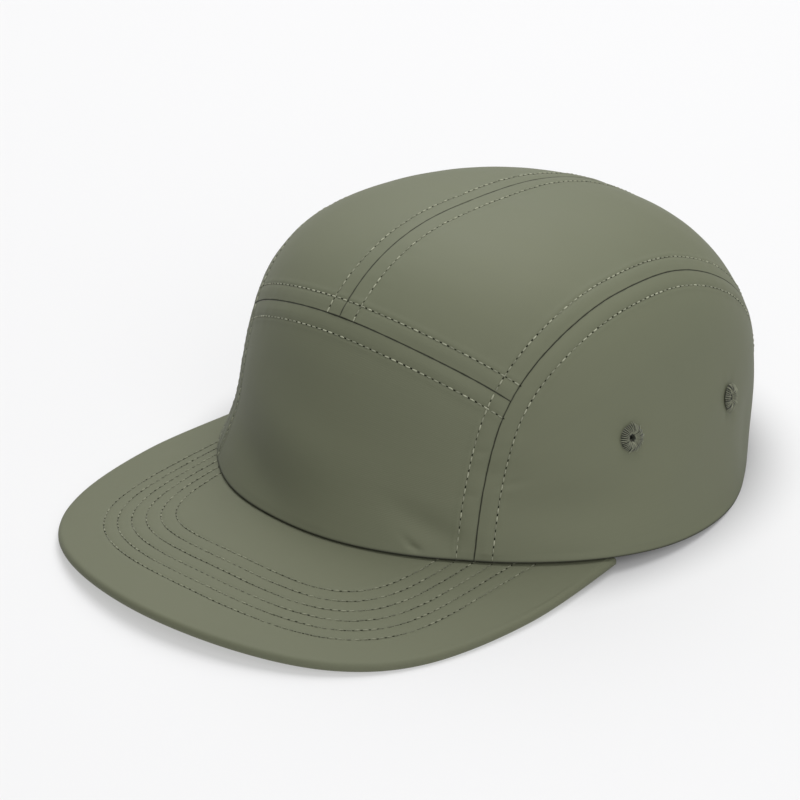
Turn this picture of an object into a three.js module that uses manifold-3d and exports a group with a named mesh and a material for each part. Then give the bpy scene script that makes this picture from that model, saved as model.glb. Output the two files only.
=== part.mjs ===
import * as THREE from "three";
import { mergeVertices } from "three/addons/utils/BufferGeometryUtils.js";
import Module from "manifold-3d";

// A soft cap of five cloth panels with a flat brim, lying on a flat surface. Lengths are millimetres.
// The front looks toward -Y, the wearer's left is +X, and the surface is z = 0.

const wasm = await Module();
wasm.setup();

// Crown sizes. The plan is measured at the lower edge, from its widest line.
const crownHalfWidth = 89.5;
const crownFront = 93.3;
const crownBack = 103.8;
const crownHeight = 96.5;
const apexForward = 4.7;
const wall = 1.5;

// The lower edge lies flat at the back and rises over the brim toward the front.
const edgeFrontRise = 12.7;
const edgeFlatBack = 70.7;
const edgeRisePower = 1.2;

// Clearances: between two sewn panels, between the strap and the curved cloth, and between any other
// two pieces.
const seamGap = 0.3;
const pieceGap = 0.35;
const strapGap = 0.8;

// Brim sizes. The tuck is how far the brim reaches in under the crown's wall.
const brimReach = 60.2;
const brimHalfWidth = 84.5;
const brimThickness = 3.3;
const brimTuck = 2.4;
const brimCornerDegrees = 71.9;
const brimFrontLift = 4.6;
const brimRestShare = 0.6;

// Embroidered vent holes.
const eyeletDiameter = 9.6;
const eyeletHole = 2.2;
const eyeletBarrel = 5.2;
const eyeletLip = 0.45;
const eyeletCrest = 0.75;

// Opening at the back with its strap and plain slide.
const archHalfWidth = 29;
const archHeight = 40;
const strapWidth = 19;
const strapLow = 5;
const strapThickness = 1.2;
const strapHold = 11;
const slideLength = 16;
const slideRim = 2.6;
const slideWall = 1.2;

// How the crown rounds over toward the front, the side and the back. Over and rise are the powers of
// the rounding, swell is the bulge halfway up as a share of the plan, and the two fullnesses square
// the plan's corners at the lower edge and near the top.
const crownShape = {
  front: { over: 2.48, rise: 1.8, swell: -0.101, lowFullness: -0.036, topFullness: 0.028 },
  side: { over: 2.45, rise: 2.51, swell: -0.081 },
  back: { over: 2.25, rise: 3.17, swell: 0.054, lowFullness: -0.04, topFullness: 0.019 },
};
const swellNorm = 5.654;
const swellFade = 1.6;

// Flat map of the crown: the apex is its centre, the lower edge its unit circle, the front is -Y.
// A row gives a turn from the front in degrees and the share of the way from the apex to the edge.
const sideSeamRows = [
  { turn: 41.7, share: 1 },
  { turn: 44.3, share: 0.835 },
  { turn: 51.6, share: 0.632 },
  { turn: 72.8, share: 0.466 },
  { turn: 109.7, share: 0.448 },
  { turn: 132.2, share: 0.612 },
  { turn: 143, share: 0.799 },
  { turn: 148, share: 1 },
];
const frontJoinRow = 2;
const rearBendRow = 5;
const frontSeamTop = 0.445;
const frontSeamPower = 2.1;
const eyeletRows = [
  { name: "front", turn: 80.4, share: 0.797 },
  { name: "rear", turn: 115.2, share: 0.844 },
];

// Half of the brim's outline from its rear corner to the middle of the front. Side is a share of
// the brim's half width, forward a share of the way from the rear corner to the front.
const brimRows = [
  { side: 0.999, forward: 0.345 },
  { side: 0.929, forward: 0.648 },
  { side: 0.729, forward: 0.843 },
  { side: 0.404, forward: 0.958 },
  { side: 0, forward: 1 },
];

// Soft dents in the cloth. Turn and lean are degrees, every length is a share of the crown's height.
const dentRows = [
  { turn: -10, height: 0.2, lean: -14, length: 0.3, width: 0.09, depth: 0.02 },
  { turn: -4, height: 0.38, lean: -14, length: 0.32, width: 0.09, depth: -0.01 },
  { turn: 33, height: 0.19, lean: -28, length: 0.14, width: 0.045, depth: 0.012 },
  { turn: 48, height: 0.37, lean: 0, length: 0.09, width: 0.04, depth: 0.007 },
  { turn: 64, height: 0.23, lean: -6, length: 0.26, width: 0.08, depth: 0.013 },
  { turn: 92, height: 0.93, lean: 10, length: 0.14, width: 0.07, depth: 0.01 },
  { turn: 98, height: 0.3, lean: 30, length: 0.2, width: 0.08, depth: -0.008 },
  { turn: 124, height: 0.17, lean: 70, length: 0.14, width: 0.1, depth: 0.012 },
  { turn: -66, height: 0.24, lean: 8, length: 0.26, width: 0.08, depth: 0.014 },
  { turn: -112, height: 0.34, lean: -70, length: 0.2, width: 0.1, depth: 0.01 },
];

// Mesh density. Two panels that share a seam have the same points along it.
const frontSeamCells = 20;
const seamRiseCells = 10;
const seamArchCells = 20;
const frontCells = { across: frontSeamCells, up: seamRiseCells };
const topCells = { across: frontSeamCells / 2, up: seamArchCells + seamRiseCells };
const sideCells = { across: seamArchCells, up: seamRiseCells };
const hemColumns = 3;
const brimAlongCells = 40;
const brimOutCells = 7;
const brimEdgeCells = 4;
const strapRiseCells = 4;
const strapCells = { across: 18, up: strapRiseCells };
const slideAcrossCells = 4;
const slideCells = { across: slideAcrossCells, up: 6 };
const eyeletSegments = 24;

// Points of the flat map past this share lie on the lower edge.
const edgeShare = 0.9999;

const radians = THREE.MathUtils.degToRad;
const lerp = THREE.MathUtils.lerp;
const clamp = THREE.MathUtils.clamp;

// A point of the flat map.
function flatPoint(turn, share) {
  const angle = radians(turn);
  return new THREE.Vector2(share * Math.sin(angle), -share * Math.cos(angle));
}

// Height of the crown's lower edge where its plan has this y.
function edgeHeight(y) {
  const start = crownBack - edgeFlatBack;
  const share = clamp((start - y) / (start + crownFront), 0, 1);
  return edgeFrontRise * share ** edgeRisePower;
}

// The smooth crown without its dents.
function domePoint(at) {
  const share = Math.min(at.length(), 1);
  const turn = Math.atan2(at.x, -at.y);
  const sideways = Math.sin(turn) ** 4;
  const ahead = Math.cos(turn);
  const end = ahead > 0 ? crownShape.front : crownShape.back;
  const mix = (key) => lerp(end[key], crownShape.side[key], sideways);
  const mixEnds = (key) => lerp(crownShape.back[key], crownShape.front[key], (1 + ahead) / 2);
  const climb = ((1 - share) * Math.PI) / 2;
  const up = Math.sin(climb) ** (2 / mix("rise"));
  const over = Math.cos(climb) ** (2 / mix("over"));
  const swell = 1 + mix("swell") * swellNorm * up * (1 - up) ** swellFade;
  const corners = Math.sin(2 * turn) ** 2;
  const full = 1 + corners * lerp(mixEnds("lowFullness"), mixEnds("topFullness"), up);
  const planX = crownHalfWidth * Math.sin(turn) * full;
  const planY = -(ahead > 0 ? crownFront : crownBack) * ahead * full;
  return new THREE.Vector3(
    planX * over * swell,
    planY * over * swell - apexForward * up,
    lerp(edgeHeight(planY), crownHeight, up),
  );
}

// Outward direction of a surface that is given over the flat map; it is level at the lower edge.
function outwardOn(surface, at) {
  const step = 0.004;
  const inside = at.clone().clampLength(0, 1 - step - 0.001);
  const along = (x, y) => surface(inside.clone().add(new THREE.Vector2(x, y)));
  const acrossX = along(step, 0).sub(along(-step, 0));
  const acrossY = along(0, step).sub(along(0, -step));
  const out = acrossX.cross(acrossY);
  if (at.length() > edgeShare) out.setZ(0);
  return out.normalize();
}

// How far the dents push the cloth in at a point of the smooth crown.
function dentDepth(at, point) {
  const turn = THREE.MathUtils.radToDeg(Math.atan2(at.x, -at.y));
  let depth = 0;
  for (const dent of dentRows) {
    const away = THREE.MathUtils.euclideanModulo(turn - dent.turn + 180, 360) - 180;
    const side = (radians(away) * crownHalfWidth * at.length()) / crownHeight;
    const rise = point.z / crownHeight - dent.height;
    const lean = radians(dent.lean);
    const along = (side * Math.cos(lean) + rise * Math.sin(lean)) / dent.length;
    const across = (rise * Math.cos(lean) - side * Math.sin(lean)) / dent.width;
    depth += dent.depth * crownHeight * Math.exp(-along * along - across * across);
  }
  return depth;
}

// The crown's outer surface.
function crownPoint(at) {
  const point = domePoint(at);
  const depth = dentDepth(at, point);
  return point.addScaledVector(outwardOn(domePoint, at), -depth);
}

// A point set in from the crown's outer surface.
function crownInside(at, depth) {
  return crownPoint(at).addScaledVector(outwardOn(crownPoint, at), -depth);
}

// Seams and edges on the flat map. A side of 1 is the wearer's left, -1 the right.
const sideSeamCurve = new THREE.SplineCurve(
  sideSeamRows.map((row) => flatPoint(row.turn, row.share)),
);
const lastSeamRow = sideSeamRows.length - 1;
const archTurn = 180 - THREE.MathUtils.radToDeg(Math.asin(archHalfWidth / crownHalfWidth));

function sideSeam(side, row) {
  const point = sideSeamCurve.getPoint(row / lastSeamRow);
  return point.setX(side * point.x);
}

function frontSeam(sideways) {
  const join = sideSeam(1, frontJoinRow);
  const rise = 1 - Math.abs(sideways) ** frontSeamPower;
  return new THREE.Vector2(join.x * sideways, lerp(join.y, -frontSeamTop, rise));
}

// Share of the way down to the edge at which the middle of the back has this height.
function backShare(height) {
  const up = clamp(height / crownHeight, 0, 1);
  const climb = Math.asin(up ** (crownShape.back.rise / 2));
  return 1 - climb / (Math.PI / 2);
}

// The top panel's back edge: over the arch, then along the lower edge to the side seam.
function topBackEdge(side, share) {
  const archShare = 1 - hemColumns / topCells.across;
  const foot = flatPoint(archTurn, 1);
  if (share > archShare) {
    const turn = lerp(archTurn, sideSeamRows[lastSeamRow].turn, (share - archShare) / (1 - archShare));
    return flatPoint(side * turn, 1);
  }
  const angle = ((1 - share / archShare) * Math.PI) / 2;
  const y = lerp(foot.y, backShare(archHeight), Math.sin(angle));
  return new THREE.Vector2(side * foot.x * Math.cos(angle), y);
}

// Fills the space between four edges of the flat map with a grid of points.
function fillPatch(edges, cells) {
  const corner = (high, end) => edges[high ? "high" : "low"](end);
  const grid = [];
  for (let i = 0; i <= cells.across; i += 1) {
    const s = i / cells.across;
    const column = [];
    for (let j = 0; j <= cells.up; j += 1) {
      const r = j / cells.up;
      const point = edges.low(s).multiplyScalar(1 - r);
      point.addScaledVector(edges.high(s), r);
      point.addScaledVector(edges.start(r), 1 - s);
      point.addScaledVector(edges.end(r), s);
      point.addScaledVector(corner(false, 0), -(1 - s) * (1 - r));
      point.addScaledVector(corner(false, 1), -s * (1 - r));
      point.addScaledVector(corner(true, 0), -(1 - s) * r);
      point.addScaledVector(corner(true, 1), -s * r);
      column.push(point);
    }
    grid.push(column);
  }
  return grid;
}

// Step on the flat map that moves an edge point in by half the seam gap, square to the edge.
function seamStep(at, tangent, toward) {
  const probe = 0.002;
  const base = crownPoint(at);
  const spread = (step) => {
    const inside = at.clone().addScaledVector(step, probe);
    const sign = inside.length() > 1 ? -1 : 1;
    const near = at.clone().addScaledVector(step, sign * probe);
    return crownPoint(near).sub(base).multiplyScalar(sign / probe);
  };
  const edge = spread(tangent);
  const aside = new THREE.Vector2(-tangent.y, tangent.x);
  const across = spread(aside);
  const share = across.dot(edge) / edge.lengthSq();
  const step = aside.addScaledVector(tangent, -share);
  const move = across.addScaledVector(edge, -share);
  const sign = step.dot(toward) < 0 ? -1 : 1;
  const scale = (sign * seamGap) / 2 / move.length();
  return { step: step.multiplyScalar(scale), square: move.normalize().multiplyScalar(sign) };
}

// Draws a patch's sewn edges in by half the seam gap.
function openSeams(grid, sewn) {
  const lastI = grid.length - 1;
  const lastJ = grid[0].length - 1;
  const moved = grid.map((column) => column.map((point) => point.clone()));
  for (let i = 0; i <= lastI; i += 1) {
    for (let j = 0; j <= lastJ; j += 1) {
      const sides = [];
      if (j === 0 && sewn.low) sides.push("low");
      if (j === lastJ && sewn.high) sides.push("high");
      if (i === 0 && sewn.start) sides.push("start");
      if (i === lastI && sewn.end) sides.push("end");
      if (sides.length === 0) continue;
      const at = grid[i][j];
      const inner = grid[clamp(i, 1, lastI - 1)][clamp(j, 1, lastJ - 1)];
      const steps = sides.map((side) => {
        const level = side === "low" || side === "high";
        const before = level ? grid[Math.max(i - 1, 0)][j] : grid[i][Math.max(j - 1, 0)];
        const after = level ? grid[Math.min(i + 1, lastI)][j] : grid[i][Math.min(j + 1, lastJ)];
        const tangent = after.clone().sub(before).normalize();
        return seamStep(at, tangent, inner.clone().sub(at));
      });
      const meet = steps.length > 1 ? 1 + steps[0].square.dot(steps[1].square) : 1;
      steps.forEach((entry) => moved[i][j].addScaledVector(entry.step, 1 / meet));
      if (at.length() > edgeShare) moved[i][j].normalize();
    }
  }
  return moved;
}

// Turns every face round if the closed geometry's faces point inward.
function facingOut(geometry) {
  const position = geometry.getAttribute("position");
  const index = geometry.index;
  const corners = [new THREE.Vector3(), new THREE.Vector3(), new THREE.Vector3()];
  let volume = 0;
  for (let i = 0; i < index.count; i += 3) {
    corners.forEach((corner, k) => corner.fromBufferAttribute(position, index.getX(i + k)));
    volume += corners[0].dot(corners[1].clone().cross(corners[2])) / 6;
  }
  if (volume < 0) {
    for (let i = 0; i < index.count; i += 3) {
      const second = index.getX(i + 1);
      index.setX(i + 1, index.getX(i + 2));
      index.setX(i + 2, second);
    }
  }
  return geometry;
}

function geometryFrom(points, faces) {
  const geometry = new THREE.BufferGeometry().setFromPoints(points);
  geometry.setIndex(faces);
  return facingOut(geometry);
}

// A closed sheet between two grids of points of the same size.
function sheetGeometry(outer, inner) {
  const columns = outer.length;
  const rows = outer[0].length;
  const outerId = (i, j) => i * rows + j;
  const innerId = (i, j) => columns * rows + outerId(i, j);
  const faces = [];
  const quad = (a, b, c, d) => faces.push(a, b, c, a, c, d);
  for (let i = 0; i < columns - 1; i += 1) {
    for (let j = 0; j < rows - 1; j += 1) {
      quad(outerId(i, j), outerId(i + 1, j), outerId(i + 1, j + 1), outerId(i, j + 1));
      quad(innerId(i, j), innerId(i, j + 1), innerId(i + 1, j + 1), innerId(i + 1, j));
    }
  }
  const high = rows - 1;
  for (let i = 0; i < columns - 1; i += 1) {
    quad(outerId(i + 1, 0), outerId(i, 0), innerId(i, 0), innerId(i + 1, 0));
    quad(outerId(i, high), outerId(i + 1, high), innerId(i + 1, high), innerId(i, high));
  }
  const last = columns - 1;
  for (let j = 0; j < rows - 1; j += 1) {
    quad(outerId(0, j), outerId(0, j + 1), innerId(0, j + 1), innerId(0, j));
    quad(outerId(last, j + 1), outerId(last, j), innerId(last, j), innerId(last, j + 1));
  }
  return geometryFrom([...outer.flat(), ...inner.flat()], faces);
}

function panelGeometry(edges, cells, sewn) {
  const grid = openSeams(fillPatch(edges, cells), sewn);
  const outer = grid.map((column) => column.map((at) => crownInside(at, 0)));
  const inner = grid.map((column) => column.map((at) => crownInside(at, wall)));
  return sheetGeometry(outer, inner);
}

function frontPanel() {
  const foot = sideSeamRows[0].turn;
  const edges = {
    low: (s) => flatPoint(lerp(-foot, foot, s), 1),
    high: (s) => frontSeam(2 * s - 1),
    start: (r) => sideSeam(-1, frontJoinRow * r),
    end: (r) => sideSeam(1, frontJoinRow * r),
  };
  return panelGeometry(edges, frontCells, { high: true, start: true, end: true });
}

function topPanel(side) {
  const bend = seamArchCells / topCells.up;
  const seamRow = (r) => {
    if (r < bend) return lerp(frontJoinRow, rearBendRow, r / bend);
    return lerp(rearBendRow, lastSeamRow, (r - bend) / (1 - bend));
  };
  const edges = {
    low: (s) => frontSeam(side * s),
    high: (s) => topBackEdge(side, s),
    start: (r) => new THREE.Vector2(0, lerp(-frontSeamTop, backShare(archHeight), r)),
    end: (r) => sideSeam(side, seamRow(r)),
  };
  return panelGeometry(edges, topCells, { low: true, start: true, end: true });
}

// The side panel before its vent holes.
function sidePanelSheet(side) {
  const frontFoot = sideSeamRows[0].turn;
  const rearFoot = sideSeamRows[lastSeamRow].turn;
  const edges = {
    low: (s) => flatPoint(side * lerp(frontFoot, rearFoot, s), 1),
    high: (s) => sideSeam(side, lerp(frontJoinRow, rearBendRow, s)),
    start: (r) => sideSeam(side, frontJoinRow * r),
    end: (r) => sideSeam(side, lerp(lastSeamRow, rearBendRow, r)),
  };
  return panelGeometry(edges, sideCells, { high: true, start: true, end: true });
}

function solidOf(geometry) {
  const bare = geometry.clone();
  bare.deleteAttribute("normal");
  bare.deleteAttribute("uv");
  const merged = mergeVertices(bare, 1e-4);
  const data = new wasm.Mesh({
    numProp: 3,
    vertProperties: new Float32Array(merged.getAttribute("position").array),
    triVerts: new Uint32Array(merged.index.array),
  });
  return new wasm.Manifold(data);
}

function geometryOf(solid) {
  const data = solid.getMesh();
  const geometry = new THREE.BufferGeometry();
  geometry.setAttribute("position", new THREE.BufferAttribute(data.vertProperties, 3));
  geometry.setIndex(new THREE.BufferAttribute(data.triVerts, 1));
  return geometry;
}

// Place of a vent on the cloth: its axis looks out of the crown, its origin is halfway through.
function eyeletPlace(side, row) {
  const at = flatPoint(side * row.turn, row.share);
  const out = outwardOn(crownPoint, at);
  const turn = new THREE.Quaternion().setFromUnitVectors(new THREE.Vector3(0, 1, 0), out);
  const middle = crownInside(at, wall / 2);
  return new THREE.Matrix4().compose(middle, turn, new THREE.Vector3(1, 1, 1));
}

function sidePanel(side) {
  let solid = solidOf(sidePanelSheet(side));
  const radius = eyeletBarrel / 2 + pieceGap;
  for (const row of eyeletRows) {
    const cutter = new THREE.CylinderGeometry(radius, radius, 6 * wall, eyeletSegments);
    cutter.applyMatrix4(eyeletPlace(side, row));
    solid = solid.subtract(solidOf(cutter));
  }
  return geometryOf(solid);
}

// A round stitched ring with a rim on both faces of the cloth and a small hole through it.
function eyelet() {
  const hole = eyeletHole / 2;
  const barrel = eyeletBarrel / 2;
  const rim = eyeletDiameter / 2;
  const under = wall / 2 + pieceGap;
  const crestAt = (hole + rim) / 2;
  const half = [
    [hole, under + eyeletLip],
    [crestAt, under + eyeletCrest],
    [rim, under + eyeletLip / 2],
    [rim - eyeletLip / 2, under],
    [barrel, under],
  ];
  const loop = [...half, ...half.map(([radius, height]) => [radius, -height]).reverse(), half[0]];
  const profile = loop.map(([radius, height]) => new THREE.Vector2(radius, height));
  return facingOut(mergeVertices(stripped(new THREE.LatheGeometry(profile, eyeletSegments)), 1e-4));
}

function stripped(geometry) {
  geometry.deleteAttribute("normal");
  geometry.deleteAttribute("uv");
  return geometry;
}

// The brim's outline from the wearer's left corner round the front to the right one.
function brimOutline() {
  const corner = domePoint(flatPoint(brimCornerDegrees, 1));
  const frontY = -(crownFront + brimReach);
  const half = brimRows.map((row) => {
    return new THREE.Vector2(row.side * brimHalfWidth, lerp(corner.y, frontY, row.forward));
  });
  half.unshift(new THREE.Vector2(corner.x, corner.y));
  const rest = half.slice(0, -1).map((point) => new THREE.Vector2(-point.x, point.y));
  return new THREE.SplineCurve([...half, ...rest.reverse()]);
}

// How high the brim's underside stands along its outline; it touches down near its front corners.
function brimLift(sideways) {
  const away = Math.abs(sideways);
  if (away < brimRestShare) {
    return (brimFrontLift * (1 + Math.cos((Math.PI * away) / brimRestShare))) / 2;
  }
  const corner = domePoint(flatPoint(brimCornerDegrees, 1));
  const rearLift = corner.z - pieceGap - brimThickness;
  return rearLift * ((away - brimRestShare) / (1 - brimRestShare)) ** 1.5;
}

// One cross section of the brim, from under the crown out to its rounded edge and back.
function brimSection(outline, sideways) {
  const at = flatPoint(brimCornerDegrees * sideways, 1);
  const inner = crownInside(at, wall + brimTuck);
  inner.z -= pieceGap + brimThickness / 2;
  const along = (1 - sideways) / 2;
  const rim = outline.getPoint(along);
  const heading = outline.getTangent(along);
  const out = new THREE.Vector3(-heading.y, heading.x, 0);
  const radius = brimThickness / 2;
  const edge = new THREE.Vector3(rim.x, rim.y, brimLift(sideways) + radius);
  edge.addScaledVector(out, -radius);
  const top = [];
  const bottom = [];
  for (let i = 0; i <= brimOutCells; i += 1) {
    const middle = inner.clone().lerp(edge, i / brimOutCells);
    top.push(middle.clone().setZ(middle.z + radius));
    bottom.push(middle.clone().setZ(middle.z - radius));
  }
  const round = [];
  for (let i = 1; i < brimEdgeCells; i += 1) {
    const angle = Math.PI / 2 - (i * Math.PI) / brimEdgeCells;
    const point = edge.clone().addScaledVector(out, radius * Math.cos(angle));
    round.push(point.setZ(edge.z + radius * Math.sin(angle)));
  }
  return [...top, ...round, ...bottom.reverse()];
}

function brim() {
  const outline = brimOutline();
  const sections = [];
  for (let i = 0; i <= brimAlongCells; i += 1) {
    sections.push(brimSection(outline, (2 * i) / brimAlongCells - 1));
  }
  const count = sections[0].length;
  const faces = [];
  for (let i = 0; i < brimAlongCells; i += 1) {
    for (let j = 0; j < count; j += 1) {
      const a = i * count + j;
      const b = i * count + ((j + 1) % count);
      faces.push(a, b, b + count, a, b + count, a + count);
    }
  }
  const last = brimAlongCells * count;
  for (let j = 0; j < Math.floor((count - 1) / 2); j += 1) {
    const k = count - 1 - j;
    faces.push(j, k, k - 1);
    if (k - 1 > j + 1) faces.push(j, k - 1, j + 1);
    faces.push(last + j, last + k - 1, last + k);
    if (k - 1 > j + 1) faces.push(last + j, last + j + 1, last + k - 1);
  }
  return geometryFrom(sections.flat(), faces);
}

// A curved block that follows the back of the crown, between two depths below its outer surface.
function backBlock(size, cells) {
  const halfTurn = THREE.MathUtils.radToDeg(size.halfLength / crownBack);
  const grid = [];
  for (let i = 0; i <= cells.across; i += 1) {
    const turn = 180 + lerp(-halfTurn, halfTurn, i / cells.across);
    const column = [];
    for (let j = 0; j <= cells.up; j += 1) {
      column.push(flatPoint(turn, backShare(lerp(size.low, size.high, j / cells.up))));
    }
    grid.push(column);
  }
  const outer = grid.map((column) => column.map((at) => crownInside(at, size.outer)));
  const inner = grid.map((column) => column.map((at) => crownInside(at, size.inner)));
  return sheetGeometry(outer, inner);
}

const strapSize = {
  halfLength: archHalfWidth * (crownBack / crownHalfWidth) + strapHold,
  low: strapLow,
  high: strapLow + strapWidth,
  outer: wall + strapGap,
  inner: wall + strapGap + strapThickness,
};

function backStrap() {
  return backBlock(strapSize, strapCells);
}

function strapSlide() {
  const body = backBlock(
    {
      halfLength: slideLength / 2,
      low: strapSize.low - slideRim,
      high: strapSize.high + slideRim,
      outer: strapSize.outer - pieceGap - slideWall,
      inner: strapSize.inner + pieceGap + slideWall,
    },
    slideCells,
  );
  const slot = backBlock(
    {
      halfLength: slideLength,
      low: strapSize.low - pieceGap,
      high: strapSize.high + pieceGap,
      outer: strapSize.outer - pieceGap,
      inner: strapSize.inner + pieceGap,
    },
    { across: 2 * slideAcrossCells, up: strapRiseCells },
  );
  return geometryOf(solidOf(body).subtract(solidOf(slot)));
}

const paint = {
  cloth: new THREE.MeshStandardMaterial({ color: 0x70735f, roughness: 0.72, metalness: 0 }),
  brim: new THREE.MeshStandardMaterial({ color: 0x737561, roughness: 0.75, metalness: 0 }),
  thread: new THREE.MeshStandardMaterial({ color: 0x5c5f50, roughness: 0.8, metalness: 0 }),
  webbing: new THREE.MeshStandardMaterial({ color: 0x62654f, roughness: 0.85, metalness: 0 }),
  slide: new THREE.MeshStandardMaterial({ color: 0x2c2d29, roughness: 0.5, metalness: 0 }),
};

function piece(name, geometry, material) {
  const mesh = new THREE.Mesh(geometry, material);
  mesh.name = name;
  return mesh;
}

const cap = new THREE.Group();
cap.add(piece("front_panel", frontPanel(), paint.cloth));
cap.add(piece("brim", brim(), paint.brim));
cap.add(piece("back_strap", backStrap(), paint.webbing));
cap.add(piece("strap_slide", strapSlide(), paint.slide));
for (const [side, name] of [[1, "left"], [-1, "right"]]) {
  cap.add(piece(`top_panel_${name}`, topPanel(side), paint.cloth));
  cap.add(piece(`side_panel_${name}`, sidePanel(side), paint.cloth));
  for (const row of eyeletRows) {
    const ring = piece(`eyelet_${name}_${row.name}`, eyelet(), paint.thread);
    eyeletPlace(side, row).decompose(ring.position, ring.quaternion, ring.scale);
    cap.add(ring);
  }
}

// The origin is the middle of the cap's footprint, on the surface that it rests on.
const box = new THREE.Box3().setFromObject(cap);
cap.position.set(-(box.min.x + box.max.x) / 2, -(box.min.y + box.max.y) / 2, -box.min.z);

export default cap;
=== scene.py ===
import math

import bpy
import numpy as np
from mathutils import Matrix, Vector, kdtree, noise


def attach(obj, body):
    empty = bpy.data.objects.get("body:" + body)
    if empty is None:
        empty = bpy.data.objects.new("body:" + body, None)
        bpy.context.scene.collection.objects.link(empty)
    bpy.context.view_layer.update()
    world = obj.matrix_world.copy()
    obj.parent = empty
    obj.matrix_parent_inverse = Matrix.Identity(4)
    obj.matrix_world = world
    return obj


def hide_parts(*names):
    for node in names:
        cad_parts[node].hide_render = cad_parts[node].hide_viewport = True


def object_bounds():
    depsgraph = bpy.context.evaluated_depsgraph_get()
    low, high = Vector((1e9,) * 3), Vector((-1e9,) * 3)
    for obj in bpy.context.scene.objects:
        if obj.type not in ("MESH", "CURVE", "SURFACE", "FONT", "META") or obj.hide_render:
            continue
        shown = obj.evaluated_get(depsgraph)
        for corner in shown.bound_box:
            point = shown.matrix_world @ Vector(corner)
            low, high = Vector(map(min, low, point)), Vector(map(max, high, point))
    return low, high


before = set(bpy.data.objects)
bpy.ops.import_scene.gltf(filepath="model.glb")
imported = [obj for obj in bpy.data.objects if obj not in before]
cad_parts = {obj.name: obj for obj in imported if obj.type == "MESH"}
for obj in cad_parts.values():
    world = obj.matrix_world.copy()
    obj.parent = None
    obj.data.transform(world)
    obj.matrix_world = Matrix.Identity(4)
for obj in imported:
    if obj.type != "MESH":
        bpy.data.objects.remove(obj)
cadLow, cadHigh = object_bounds()
print("frame loaded")

# Sizes are millimetres, as in the part's own source; meshes are made in metres.
# These weren't chosen by hand: the crown's sizes and shape, the seams' rows, the places of the
# eyelets, the brim's rows and stitch rows, and the camera. A program fitted them to curves that
# were traced on the photograph, and they were scaled and rounded afterwards.
mm = 0.001

crown = {
    "halfWidth": 89.5,
    "front": 93.3,
    "back": 103.8,
    "height": 96.5,
    "apexForward": 4.7,
    "wall": 1.5,
    "edgeFrontRise": 12.7,
    "edgeFlatBack": 70.7,
    "edgeRisePower": 1.2,
    "swellNorm": 5.654,
    "swellFade": 1.6,
}

# how the crown rounds over toward the front, the side and the back
crownShape = {
    "front": {"over": 2.48, "rise": 1.8, "swell": -0.101, "lowFull": -0.036, "topFull": 0.028},
    "side": {"over": 2.45, "rise": 2.51, "swell": -0.081},
    "back": {"over": 2.25, "rise": 3.17, "swell": 0.054, "lowFull": -0.04, "topFull": 0.019},
}

# the main folds, as in the part's own source; turn and lean are degrees, every length is a
# share of the crown's height
dentRows = [
    {"turn": -10, "height": 0.2, "lean": -14, "length": 0.3, "width": 0.09, "depth": 0.02},
    {"turn": -4, "height": 0.38, "lean": -14, "length": 0.32, "width": 0.09, "depth": -0.01},
    {"turn": 33, "height": 0.19, "lean": -28, "length": 0.14, "width": 0.045, "depth": 0.012},
    {"turn": 48, "height": 0.37, "lean": 0, "length": 0.09, "width": 0.04, "depth": 0.007},
    {"turn": 64, "height": 0.23, "lean": -6, "length": 0.26, "width": 0.08, "depth": 0.013},
    {"turn": 92, "height": 0.93, "lean": 10, "length": 0.14, "width": 0.07, "depth": 0.01},
    {"turn": 98, "height": 0.3, "lean": 30, "length": 0.2, "width": 0.08, "depth": -0.008},
    {"turn": 124, "height": 0.17, "lean": 70, "length": 0.14, "width": 0.1, "depth": 0.012},
    {"turn": -66, "height": 0.24, "lean": 8, "length": 0.26, "width": 0.08, "depth": 0.014},
    {"turn": -112, "height": 0.34, "lean": -70, "length": 0.2, "width": 0.1, "depth": 0.01},
]

# small creases that the part's own source hasn't
creaseRows = [
    {"turn": 30, "height": 0.13, "lean": -40, "length": 0.05, "width": 0.012, "depth": 0.008},
    {"turn": 45, "height": 0.44, "lean": 6, "length": 0.05, "width": 0.014, "depth": 0.004},
    {"turn": 50, "height": 0.33, "lean": 10, "length": 0.06, "width": 0.012, "depth": 0.004},
    {"turn": 41, "height": 0.3, "lean": 2, "length": 0.035, "width": 0.01, "depth": 0.003},
    {"turn": -140, "height": 0.22, "lean": 20, "length": 0.1, "width": 0.03, "depth": 0.006},
]

edgeShare = 0.9999  # past this share of the flat map a point lies on the lower edge
foldLevelShare = 0.18  # over this share of the flat map, folds turn level toward the lower edge
frontShiftY = cadLow.y / mm + crown["front"]


def between(first, second, share):
    return first + (second - first) * share


def flatPoint(turn, share):
    angle = np.radians(turn)
    return np.stack(np.broadcast_arrays(share * np.sin(angle), -share * np.cos(angle)), axis=-1)


def lengthOf(vectors):
    return np.linalg.norm(vectors, axis=-1)


def unit(vectors):
    return vectors / np.maximum(lengthOf(vectors), 1e-12)[..., None]


def edgeHeight(y):
    start = crown["back"] - crown["edgeFlatBack"]
    share = np.clip((start - y) / (start + crown["front"]), 0, 1)
    return crown["edgeFrontRise"] * share ** crown["edgeRisePower"]


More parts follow.
